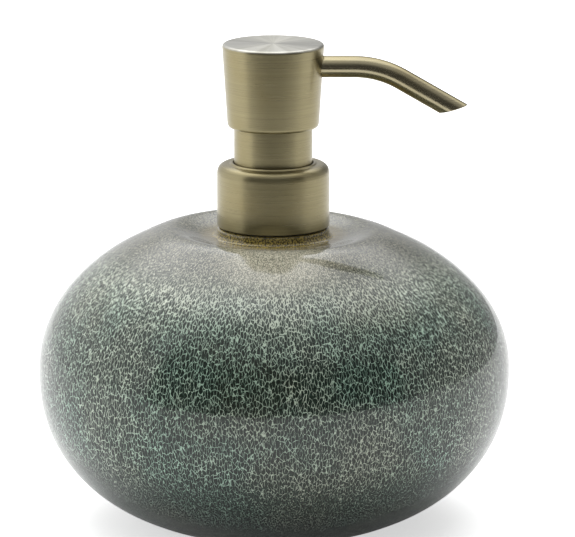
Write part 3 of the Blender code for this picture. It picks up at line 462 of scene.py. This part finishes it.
def brushed_brass(name, tint, roughness, edge, lines=9000):
    """Antique brass with fine turning lines round the pump's axis, and a painted highlight fan on
    the head's top.
    """
    plain = {"Metallic": 1.0, "Anisotropic": 0.75, "Anisotropic Rotation": 0.25}
    plain.update({"Coat Weight": 0.18, "Coat Roughness": 0.16, "Specular Tint": (*edge, 1.0)})
    paint = Paint(name, plain)
    place = paint.place()
    turning = (40, 40, lines)
    line = paint.noise(paint.stretch(place, turning), 1.0, 3, 0.6)
    wide = paint.noise(paint.stretch(place, tuple(s / 6 for s in turning)), 1.0, 2)
    cloud = paint.noise(place, 75, 3, 0.55)
    dark = tuple(c * 0.86 for c in tint)
    light = tuple(min(1.0, c * 1.10) for c in tint)
    colour = paint.mix(paint.step(line, 0.3, 0.7), dark, light)
    warm = (tint[0] * 0.95, tint[1] * 0.91, tint[2] * 0.80)
    colour = paint.mix(paint.step(cloud, 0.4, 0.68, 0.0, 0.55), colour, warm)
    # Painted highlight: the head's top disc is made paler and nearly untinted, with a fan of
    # lighter and darker spokes standing in for its reflections.
    top = paint.step(paint.axis(place, "Z"), 131.9 * MM, 132.5 * MM)
    outward = paint.vector("MULTIPLY", place, (1.0, 1.0, 0.0))
    spoke = paint.node("VectorMath", {0: outward}, operation="NORMALIZE")
    fan_highlight = paint.step(paint.noise(spoke, 2.2, 3, 0.6), 0.3, 0.7)
    highlighted_top = paint.mix(fan_highlight, (0.47, 0.46, 0.40), (0.72, 0.71, 0.65))
    colour = paint.mix(top, colour, highlighted_top)
    paint.set("Base Color", colour)
    fine = paint.step(line, 0.25, 0.75, roughness - 0.03, roughness + 0.04)
    rough = paint.sum(fine, paint.step(wide, 0.3, 0.7, -0.015, 0.015))
    paint.set("Roughness", rough)
    paint.bump(paint.sum(line, paint.times(wide, 0.4)), 0.008 * MM, 0.25)
    tangent = paint.node("Tangent", {}, direction_type="RADIAL", axis="Z")
    paint.tree.links.new(tangent, paint.shader.inputs["Tangent"])
    return paint.material


def moulded_plastic(name, colour, roughness, grain=0.05, **plain):
    """Moulded plastic with a faint mottle and a fine eroded skin."""
    paint = Paint(name, {socket.replace("_", " "): value for socket, value in plain.items()})
    place = paint.place()
    mottle = paint.noise(place, 260, 3)
    skin = paint.noise(place, 5200, 2)
    low = tuple(c * (1 - grain) for c in colour)
    high = tuple(min(1.0, c * (1 + grain)) for c in colour)
    paint.set("Base Color", paint.mix(paint.step(mottle, 0.3, 0.7), low, high))
    paint.set("Roughness", paint.step(mottle, 0.3, 0.7, roughness - 0.05, roughness + 0.06))
    paint.bump(skin, 0.01 * MM, 0.4)
    return paint.material


def drawn_steel(name, roughness):
    """Bright steel with fine drawing lines."""
    paint = Paint(name, {"Metallic": 1.0})
    place = paint.place()
    line = paint.noise(paint.stretch(place, (1500, 1500, 5000)), 1.0, 3)
    paint.set("Base Color", paint.mix(line, (0.52, 0.53, 0.55), (0.74, 0.75, 0.77)))
    paint.set("Roughness", paint.step(line, 0.3, 0.7, roughness, roughness + 0.12))
    paint.bump(line, 0.006 * MM, 0.3)
    return paint.material


GLAZE = reactive_glaze()
BRASS = brushed_brass("antique_brass", (0.335, 0.292, 0.165), 0.30, (1.0, 1.0, 1.0))
SPOUT_BRASS = brushed_brass("spout_brass", (0.42, 0.372, 0.24), 0.17, (0.30, 0.27, 0.20), 3000)
WHITE = moulded_plastic("white_plastic", (0.80, 0.80, 0.77), 0.42, Subsurface_Weight=0.08)
CLEAR = moulded_plastic("clear_plastic", (0.86, 0.88, 0.87), 0.28, Subsurface_Weight=0.3)
DARK = moulded_plastic("dark_plastic", (0.12, 0.115, 0.10), 0.45, 0.15)
RUBBER = moulded_plastic("seal_rubber", (0.035, 0.035, 0.036), 0.62, 0.25)
FOAM = moulded_plastic("gasket_foam", (0.60, 0.60, 0.58), 0.85, 0.12)
SPRING_STEEL = drawn_steel("spring_steel", 0.24)
BALL_STEEL = drawn_steel("ball_steel", 0.08)


# ---------------------------------------------------------------- bottle

def bottle_outline():
    """The pot's outline in fine steps, its widest point, and where its body and foot begin."""
    outline = section("ceramic_bottle")
    if outline[0][1] < outline[-1][1]:
        outline.reverse()
    rim = max(height for _, height in outline)
    dish = max(i for i, point in enumerate(outline) if point[1] > rim - NEAR)
    while outline[dish + 1][1] < outline[dish][1]:
        dish += 1
    belly = max(range(len(outline)), key=lambda i: outline[i][0])
    foot = next(i for i in range(belly, len(outline)) if outline[i][1] < NEAR)
    smooth = spline(outline[dish:foot], 260)
    fine = softened([*outline[:dish], *smooth, *outline[foot:]], 0.5 * MM)
    top = max(range(len(fine)), key=lambda i: fine[i][1])
    dish_radius = outline[dish][0]
    under_height = outline[foot - 1][1]
    first_body = next(i for i in range(top, len(fine)) if fine[i][0] > dish_radius)
    first_under = next(i for i in range(first_body, len(fine)) if fine[i][1] < under_height)
    return fine, outline[belly], first_body, first_under


def make_bottle():
    """The pot, turned finely, with the slight unevenness of a hand-glazed one.

    The glaze's pattern is laid on a cylinder as wide as the belly. Its zone is 1 on the neck,
    -1 on the foot ring and 0 between.
    """
    fine, (belly_radius, belly_height), first_body, first_under = bottle_outline()
    rings = []
    places = []
    zones = []
    along = 0.0
    for i, (radius, height) in enumerate(fine):
        if i:
            along += math.dist(fine[i - 1], fine[i])
        neck_zone = 1.0 if i < first_body + 4 else 0.0
        zone = -1.0 if i > first_under + 3 else neck_zone
        if radius < NEAR:
            rings.append([(0.0, 0.0, height)])
            places.append((0.0, 0.0, along))
            zones.append(zone)
            continue
        # Shares: out from the dish, above the belly, near the belly, and on the shoulder's crest.
        outside = first_body <= i < first_under
        out = min(1.0, max(0.0, (radius - 17 * MM) / (13 * MM))) if outside else 0.0
        above = min(1.0, max(0.0, (height - belly_height) / (25 * MM)))
        middle = out * max(0.0, 1 - ((height - belly_height) / belly_height) ** 2)
        crest = above * max(0.0, 1 - ((radius - 24 * MM) / (9 * MM)) ** 2) ** 2
        ring = []
        for k in range(BOTTLE_STEPS):
            angle = math.tau * k / BOTTLE_STEPS
            x = math.cos(angle)
            y = math.sin(angle)
            swell = noise.noise(Vector((x * 1.3, y * 1.3, height * 22))) * GLAZE_SWELL * middle
            sink = SHOULDER_SINK * (x + 1.0) * out * above + (0.35 - 0.4 * y) * MM * crest
            across = (radius + swell) * x + BELLY_SHIFT * middle
            ring.append((across, (radius + swell) * y, height - sink))
            places.append((belly_radius * x, belly_radius * y, along))
            zones.append(zone)
        rings.append(ring)
    mesh = grid_mesh("glazed_bottle", rings, False)
    place = mesh.attributes.new("glaze_place", "FLOAT_VECTOR", "POINT")
    place.data.foreach_set("vector", np.array(places, np.float32).ravel())
    zone = mesh.attributes.new("glaze_zone", "FLOAT", "POINT")
    zone.data.foreach_set("value", np.array(zones, np.float32))
    piece("glazed_bottle", mesh, GLAZE, "ceramic_bottle", sharp=70)


# ---------------------------------------------------------------- metal pieces

def make_collar():
    """The smooth cover of the screw collar."""
    outline = softened(section("collar_cover"), METAL_EDGE, 6)
    piece("brass_collar", turned(outline, FINE_STEPS), BRASS, "collar_cover")


def make_sleeve():
    """The tube that the head slides over."""
    outline = softened(section("sleeve_cover"), METAL_EDGE, 6)
    piece("brass_sleeve", turned(outline, FINE_STEPS), BRASS, "sleeve_cover")


def spout_frames(start, beyond):
    """Frames along the spout's axis, from a distance out to past its end."""
    low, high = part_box("spout_tube")
    radius = (high.y - low.y) / 2
    height = high.z - radius
    stations = []
    for k in range(12):
        stations.append((start + (SPOUT_LEVEL_END - start) * k / 12, height, 0.0))
    for k in range(33):
        turn = SPOUT_DROOP * k / 32
        out = SPOUT_LEVEL_END + SPOUT_BEND_RADIUS * math.sin(turn)
        stations.append((out, height - SPOUT_BEND_RADIUS * (1 - math.cos(turn)), turn))
    bent_out, bent_up, _ = stations[-1]
    for k in range(1, 13):
        reach = beyond * k / 12
        out = bent_out + reach * math.cos(SPOUT_DROOP)
        stations.append((out, bent_up - reach * math.sin(SPOUT_DROOP), SPOUT_DROOP))
    frames = []
    side = Vector((0, 1, 0))
    for out, up, turn in stations:
        frames.append((Vector((out, 0, up)), side, Vector((math.sin(turn), 0, math.cos(turn)))))
    return frames


def slanted_tube(name, node, wall, setback):
    """A bent tube with a rounded rim, cut on a slant at its end."""
    low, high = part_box(node)
    radius = (high.y - low.y) / 2
    frames = spout_frames(low.x, SPOUT_TAIL - setback)
    cut_normal = Vector((math.sin(SPOUT_SLANT), 0, -math.cos(SPOUT_SLANT)))
    end_point = frames[-1][0]
    along = Vector((math.cos(SPOUT_DROOP), 0, -math.sin(SPOUT_DROOP)))
    steps = 64
    angles = [math.tau * k / steps for k in range(steps)]
    edge = wall / 2

    def ring(frame_at, size, back=0.0, slide=False):
        """One ring, or one slid along the tail to stand back from the slanted cut."""
        point, side, up = frame_at
        made = []
        for a in angles:
            place = point + side * (size * math.cos(a)) + up * (size * math.sin(a))
            if slide:
                to_cut = (end_point - place).dot(cut_normal) / along.dot(cut_normal)
                place += along * (to_cut - back)
            made.append(tuple(place))
        return made

    rings = [ring(at, radius) for at in frames[:-2]]
    rings.append(ring(frames[-1], radius, edge * 1.4, True))
    for k in range(7):
        turn = math.pi * k / 6
        size = radius - edge + edge * math.cos(turn)
        rings.append(ring(frames[-1], size, edge * (1 - math.sin(turn)), True))
    rings.append(ring(frames[-1], radius - wall, edge * 1.4, True))
    rings += [ring(at, radius - wall) for at in reversed(frames[:-2])]
    return grid_mesh(name, rings, True)


def make_spout():
    """The spout and, a little way inside its end, its plastic liner."""
    mesh = slanted_tube("brass_spout", "spout_tube", 0.5 * MM, 0.0)
    piece("brass_spout", mesh, SPOUT_BRASS, "spout_tube")
    mesh = slanted_tube("clear_spout_liner", "spout_liner", 0.65 * MM, 1.2 * MM)
    piece("clear_spout_liner", mesh, CLEAR, "spout_liner")


def make_head():
    """The pressed head, with a rounded hole for the spout."""
    outline = softened(section("head_shell", -1), METAL_EDGE, 6)
    low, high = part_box("spout_tube")
    radius = (high.y - low.y) / 2
    height = high.z - radius
    hole = bar(radius + 0.3 * MM, (8 * MM, 0, height), (20 * MM, 0, height))
    mesh = cut(turned(outline, FINE_STEPS), hole)
    piece("brass_head", mesh, BRASS, "head_shell", sharp=40)


# ---------------------------------------------------------------- inner pieces

def make_plain_turned():
    """The inner pieces that are bodies of revolution."""
    plan = [
        ("neck_washer", "neck_gasket", FOAM, 0.15, 1),
        ("white_barrel", "pump_housing", WHITE, 0.25, -1),
        ("white_stem_guide", "stem_guide", WHITE, 0.2, 1),
        ("black_wiper", "stem_wiper", RUBBER, 0.15, 1),
        ("white_piston", "piston", WHITE, 0.15, 1),
        ("white_piston_retainer", "piston_retainer", WHITE, 0.2, 1),
        ("white_stem", "stem", WHITE, 0.15, 1),
    ]
    for name, node, paint, edge, side in plan:
        mesh = turned(softened(section(node, side), edge * MM), HIDDEN_STEPS, name)
        if node == "pump_housing":
            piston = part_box("piston")
            middle = (piston[0].z + piston[1].z) / 2
            mesh = cut(mesh, bar(0.6 * MM, (0, 0, middle), (20 * MM, 0, middle), 24))
        piece(name, mesh, paint, node)


def make_ball(name, node):
    """A valve's ball, turned from a half circle."""
    low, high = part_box(node)
    middle = (low.z + high.z) / 2
    radius = (high.z - low.z) / 2
    outline = []
    for k in range(33):
        turn = math.pi * k / 32
        outline.append((abs(radius * math.sin(turn)), middle + radius * math.cos(turn)))
    piece(name, turned(outline, 64, name), BALL_STEEL, node)


def make_dip_tube():
    """The suction tube, its lower end cut on a slant."""
    low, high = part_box("dip_tube")
    radius = high.x
    bore = radius - 0.7 * MM
    slope = math.tan(math.radians(35))
    outline = []
    for k in range(40):
        outline.append((radius, high.z - (high.z - low.z) * k / 39))
    for k in range(40):
        outline.append((bore, low.z + (high.z - low.z) * k / 39))
    mesh = turned(softened(outline, 0.1 * MM), 64, "dip_tube")
    length = high.z - low.z
    for vertex in mesh.vertices:
        share = max(0.0, 1 - (vertex.co.z - low.z) / (0.35 * length))
        vertex.co.z += (vertex.co.x + radius) * slope * share**3
    piece("clear_dip_tube", mesh, CLEAR, "dip_tube")


def ridge_mesh(radius, size, bottom, end_sink):
    """A screw thread's ridge with rounded flanks, which fades into its wall at both ends."""
    per_turn = 72
    count = round(THREAD_TURNS * per_turn)
    steps = 14
    rings = [[]]
    for i in range(count + 1):
        angle = math.tau * i / per_turn
        height = bottom + THREAD_PITCH * i / per_turn
        share = min(1.0, min(i, count - i) / (0.15 * per_turn))
        scale = size * (0.35 + 0.65 * share)
        middle = radius + end_sink * (1 - share)
        ring = []
        for k in range(steps):
            a = math.tau * k / steps
            out = middle + scale * math.cos(a)
            up = height + scale * math.sin(a)
            ring.append((out * math.cos(angle), out * math.sin(angle), up))
        rings.append(ring)
    rings[0] = [tuple(np.mean(rings[1], axis=0))]
    rings.append([tuple(np.mean(rings[-1], axis=0))])
    return grid_mesh("ridge", rings, False)


def thread_bottom(turns):
    """The height of a thread's lower end, so many turns under the top of the insert's ridge."""
    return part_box("neck_insert")[1].z - THREAD_TOP_MARGIN - turns * THREAD_PITCH


def make_insert():
    """The threaded sleeve in the neck, with a flange on the rim and barbs below."""
    low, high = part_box("neck_insert")
    flange_radius = high.x
    root = flange_radius - 1.0 * MM - THREAD_RIDGE
    bore = root - 1.65 * MM
    flange_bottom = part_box("ceramic_bottle")[1].z + 0.3 * MM
    flange_top = flange_bottom + 0.8 * MM
    tail = 12.5 * MM  # radius over the barbs
    outline = [(bore, high.z), (root, high.z), (root, flange_top)]
    outline += [(flange_radius, flange_top), (flange_radius, flange_bottom)]
    barb = (flange_bottom - low.z) / 3
    for i in range(3):
        top = flange_bottom - barb * i
        outline += [(tail - 0.5 * MM, top), (tail, top - barb / 3)]
    outline += [(tail - 0.5 * MM, low.z), (bore, low.z)]
    mesh = turned(softened(outline, 0.2 * MM), THREAD_STEPS, "neck_insert")
    ridge = ridge_mesh(root, THREAD_RIDGE, thread_bottom(THREAD_TURNS), -0.45 * MM)
    piece("threaded_insert", cut(mesh, ridge, "UNION"), WHITE, "neck_insert", sharp=40)


def make_liner():
    """The screw cap inside the collar, its ridge half a turn under the insert's."""
    low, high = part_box("collar_liner")
    radius = high.x
    bore = radius - 0.5 * MM
    ledge = high.z - 2.0 * MM
    hole = 11.1 * MM
    corner = 1.9 * MM
    outline = [(hole, high.z), (radius - corner, high.z), (radius, high.z - corner)]
    outline += [(radius, low.z), (bore, low.z), (bore, ledge), (hole, ledge)]
    mesh = turned(softened(outline, 0.15 * MM), THREAD_STEPS, "collar_liner")
    bottom = thread_bottom(THREAD_TURNS + 0.5)
    ridge = ridge_mesh(bore - 0.06 * MM, 0.39 * MM, bottom, 0.1 * MM)
    piece("threaded_liner", cut(mesh, ridge, "UNION"), WHITE, "collar_liner", sharp=40)


def make_spring():
    """The return spring, its end coils closed, with its own copy of its mesh."""
    low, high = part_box("return_spring")
    wire = 0.35 * MM
    coil = 4.2 * MM
    active = 6
    closed = 0.75
    turns = active + 2 * closed
    rise = 0.84 * MM * closed
    first = low.z + wire
    last = high.z - wire
    per_turn = 40
    count = round(turns * per_turn)
    angles = [math.tau * k / 12 for k in range(12)]
    middles = []
    rings = []
    for i in range(count + 1):
        turn = turns * i / count
        from_end = min(turn, turns - turn)
        if from_end < closed:
            climb = rise * from_end / closed
            height = first + climb if turn < turns / 2 else last - climb
        else:
            height = first + rise + (last - first - 2 * rise) * (turn - closed) / active
        out = Vector((math.cos(math.tau * turn), math.sin(math.tau * turn), 0))
        up = Vector((0, 0, 1))
        middle = out * coil + up * height
        size = wire if 0 < i < count else wire * 0.8
        spokes = [out * (size * math.cos(a)) + up * (size * math.sin(a)) for a in angles]
        middles.append(tuple(middle))
        rings.append([tuple(middle + spoke) for spoke in spokes])
    rings = [[middles[0]], *rings, [middles[-1]]]
    mesh = grid_mesh("steel_spring", rings, False)
    made = piece("steel_spring", mesh, SPRING_STEEL, "return_spring")
    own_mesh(made)


def keep_cad_nodes():
    """The inner pieces whose CAD shape stays. They get their own materials."""
    for node, paint in (("ball_retainer", WHITE), ("head_core", DARK), ("spout_seal", RUBBER)):
        kept = frame["nodes"][node]
        kept.data.materials.clear()
        kept.data.materials.append(paint)


# ---------------------------------------------------------------- studio

def make_floor():
    """A pale table. Its front edge, out of view, is the one that the glaze reflects."""
    outline = [(-1.6, -0.30), (1.6, -0.30), (1.6, 1.7), (-1.6, 1.7)]
    mesh = bpy.data.meshes.new("floor")
    mesh.from_pydata([(x, y, 0.0) for x, y in outline], [], [(0, 1, 2, 3)])
    paint = Paint("pale_table", {"Roughness": 0.55, "Specular IOR Level": 0.25})
    grain = paint.noise(paint.place(), 60, 4)
    paint.set("Base Color", paint.mix(grain, (0.86, 0.86, 0.86), (0.90, 0.90, 0.90)))
    paint.shader.inputs["Emission Color"].default_value = (1.0, 1.0, 1.0, 1.0)
    shown = paint.times(paint.node("LightPath", {}, "Is Camera Ray"), 0.55)
    paint.set("Emission Strength", paint.sum(shown, 0.05))
    floor = bpy.data.objects.new("floor", mesh)
    mesh.materials.append(paint.material)
    bpy.context.scene.collection.objects.link(floor)


def soft_light(name, size, place, target, radiance):
    """A square lamp that lights the object but doesn't show in its reflections."""
    lamp = bpy.data.lights.new(name, "AREA")
    lamp.shape = "RECTANGLE"
    lamp.size, lamp.size_y = size, size
    lamp.energy = radiance * math.pi * size**2
    light = bpy.data.objects.new(name, lamp)
    light.location = place
    light.rotation_euler = (Vector(target) - Vector(place)).to_track_quat("-Z", "Y").to_euler()
    light.visible_glossy = False
    bpy.context.scene.collection.objects.link(light)


def make_world():
    """White walls behind and at the sides, a dark room in front, and a bright ceiling.

    The camera itself sees a plain white backdrop.
    """
    world = bpy.data.worlds.new("studio")
    bpy.context.scene.world = world
    world.use_nodes = True
    tree = world.node_tree
    tree.nodes.clear()
    output = tree.nodes.new("ShaderNodeOutputWorld")
    shown = tree.nodes.new("ShaderNodeBackground")
    shown.inputs["Color"].default_value = (1.0, 1.0, 1.0, 1.0)
    shown.inputs["Strength"].default_value = 1.05
    lit = tree.nodes.new("ShaderNodeBackground")
    chooser = tree.nodes.new("ShaderNodeMixShader")
    rays = tree.nodes.new("ShaderNodeLightPath")
    place = tree.nodes.new("ShaderNodeTexCoord")
    split = tree.nodes.new("ShaderNodeSeparateXYZ")
    tree.links.new(place.outputs["Generated"], split.inputs["Vector"])

    def calc(operation, a, b):
        made = tree.nodes.new("ShaderNodeMath")
        made.operation = operation
        for socket, value in zip(made.inputs, (a, b)):
            if isinstance(value, bpy.types.NodeSocket):
                tree.links.new(value, socket)
            else:
                socket.default_value = value
        return made.outputs[0]

    def ease(value, start, end):
        made = tree.nodes.new("ShaderNodeMapRange")
        made.interpolation_type = "SMOOTHSTEP"
        tree.links.new(value, made.inputs["Value"])
        made.inputs["From Min"].default_value = start
        made.inputs["From Max"].default_value = end
        return made.outputs["Result"]

    # Frontal is 1 straight in front of the pot, rightward is 1 at its right, and z is up.
    x = split.outputs["X"]
    y = split.outputs["Y"]
    z = split.outputs["Z"]
    squared = calc("ADD", calc("MULTIPLY", x, x), calc("MULTIPLY", y, y))
    flat = calc("MAXIMUM", calc("SQRT", squared, 0.0), 0.001)
    frontal = calc("DIVIDE", calc("MULTIPLY", y, -1.0), flat)
    rightward = calc("DIVIDE", x, flat)
    edge_shift = calc("MULTIPLY", ease(rightward, 0.2, 0.8), 0.07)
    open_side = ease(calc("ADD", frontal, edge_shift), 0.50, 0.38)
    wall = calc("SUBTRACT", 1.32, calc("MULTIPLY", ease(rightward, -0.6, 0.6), 0.77))
    room = calc("ADD", 0.12, calc("MULTIPLY", ease(z, 0.45, 0.92), 0.65))
    around = calc("ADD", room, calc("MULTIPLY", open_side, calc("SUBTRACT", wall, room)))
    backdrop = calc("MULTIPLY", ease(calc("MULTIPLY", frontal, -1.0), 0.5, 0.9), -0.25)
    overhead = calc("MULTIPLY", ease(calc("ADD", z, calc("MULTIPLY", y, 0.5)), 0.78, 1.04), 1.75)
    strength = calc("ADD", around, calc("ADD", backdrop, overhead))
    tree.links.new(strength, lit.inputs["Strength"])
    tree.links.new(rays.outputs["Is Camera Ray"], chooser.inputs[0])
    tree.links.new(lit.outputs[0], chooser.inputs[1])
    tree.links.new(shown.outputs[0], chooser.inputs[2])
    tree.links.new(chooser.outputs[0], output.inputs[0])


def make_camera():
    """A long lens, well away from the bottle and a little above it."""
    camera = bpy.data.objects.new("camera", bpy.data.cameras.new("camera"))
    camera.data.sensor_width = 36
    camera.data.lens = 362.8
    tilt = math.radians(12.25)
    distance = 1.6
    target = Vector((3.92 * MM, 0, 69.6 * MM))
    camera.location = target + Vector((0, -math.cos(tilt), math.sin(tilt))) * distance
    camera.rotation_euler = (math.pi / 2 - tilt, 0, 0)
    camera.data.clip_start = 0.1
    camera.data.clip_end = 20
    bpy.context.scene.collection.objects.link(camera)
    bpy.context.scene.camera = camera


make_bottle()
make_collar()
make_sleeve()
make_head()
make_spout()
make_plain_turned()
make_ball("steel_inlet_ball", "inlet_ball")
make_ball("steel_outlet_ball", "outlet_ball")
make_dip_tube()
make_insert()
make_liner()
make_spring()
keep_cad_nodes()

make_floor()
make_world()
make_camera()
soft_light("overhead_softbox", size=1.8, place=(0, 0.35, 1.5), target=(0, 0.05, 0.0), radiance=1.3)
soft_light("left_softbox", size=1.0, place=(-1.5, -0.25, 0.4), target=(0, 0, 0.05), radiance=1.2)
bpy.context.scene.view_settings.view_transform = "Standard"
